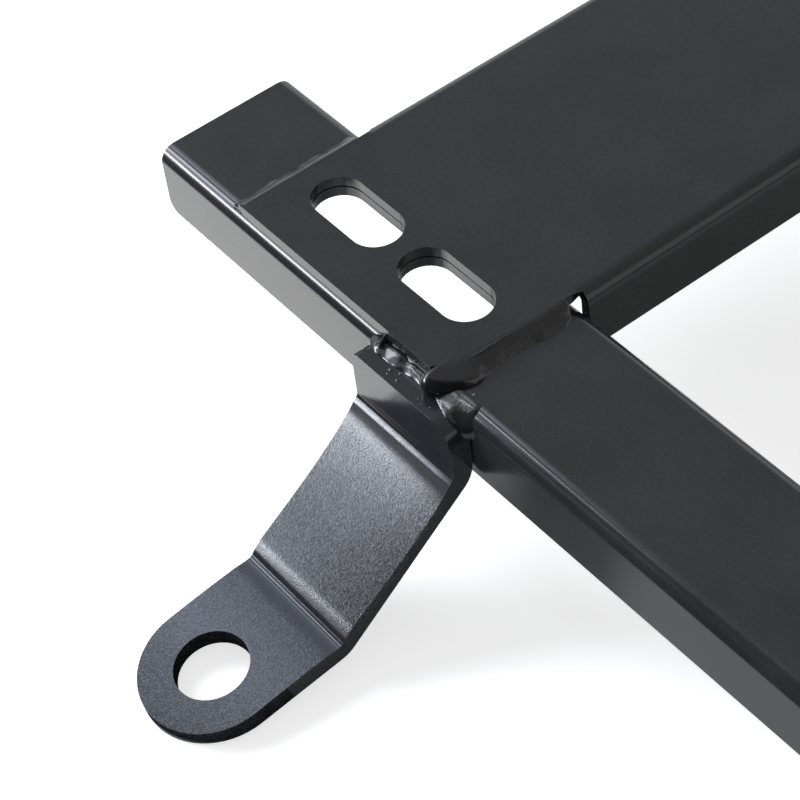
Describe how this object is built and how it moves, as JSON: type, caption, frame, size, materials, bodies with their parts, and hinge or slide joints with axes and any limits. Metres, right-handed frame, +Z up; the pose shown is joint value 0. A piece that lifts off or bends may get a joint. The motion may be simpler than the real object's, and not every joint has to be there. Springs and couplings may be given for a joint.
{
  "type": "seat bracket",
  "caption": "Welded frame of folded sheet channels and rails with slotted holes, standing on bent tabs, that bolts a bucket seat above a vehicle floor",
  "frame": {"origin": "on the floor, below the middle of the frame", "axes": "+X to the right, +Y to the rear, +Z up; the rails run along Y and the cross channels along X"},
  "size_m": [0.42, 0.4552, 0.0444],
  "materials": {
    "channel_paint": "semi-gloss powder coat",
    "rail_paint": "semi-gloss powder coat",
    "tab_paint": "satin powder coat over scale",
    "weld_paint": "glossy powder coat over weld"
  },
  "bodies": {
    "root": {"front_channel": "channel_paint", "rear_channel": "channel_paint", "left_rail": "rail_paint", "right_rail": "rail_paint", "front_left_tab": "tab_paint", "front_right_tab": "tab_paint", "rear_left_tab": "tab_paint", "rear_right_tab": "tab_paint", "front_left_outer_weld": "weld_paint", "front_left_inner_weld": "weld_paint", "front_left_tab_weld": "weld_paint", "front_left_corner_weld": "weld_paint", "front_right_outer_weld": "weld_paint", "front_right_inner_weld": "weld_paint", "front_right_tab_weld": "weld_paint", "front_right_corner_weld": "weld_paint", "rear_left_outer_weld": "weld_paint", "rear_left_inner_weld": "weld_paint", "rear_left_tab_weld": "weld_paint", "rear_left_corner_weld": "weld_paint", "rear_right_outer_weld": "weld_paint", "rear_right_inner_weld": "weld_paint", "rear_right_tab_weld": "weld_paint", "rear_right_corner_weld": "weld_paint"}
  },
  "joints": []
}
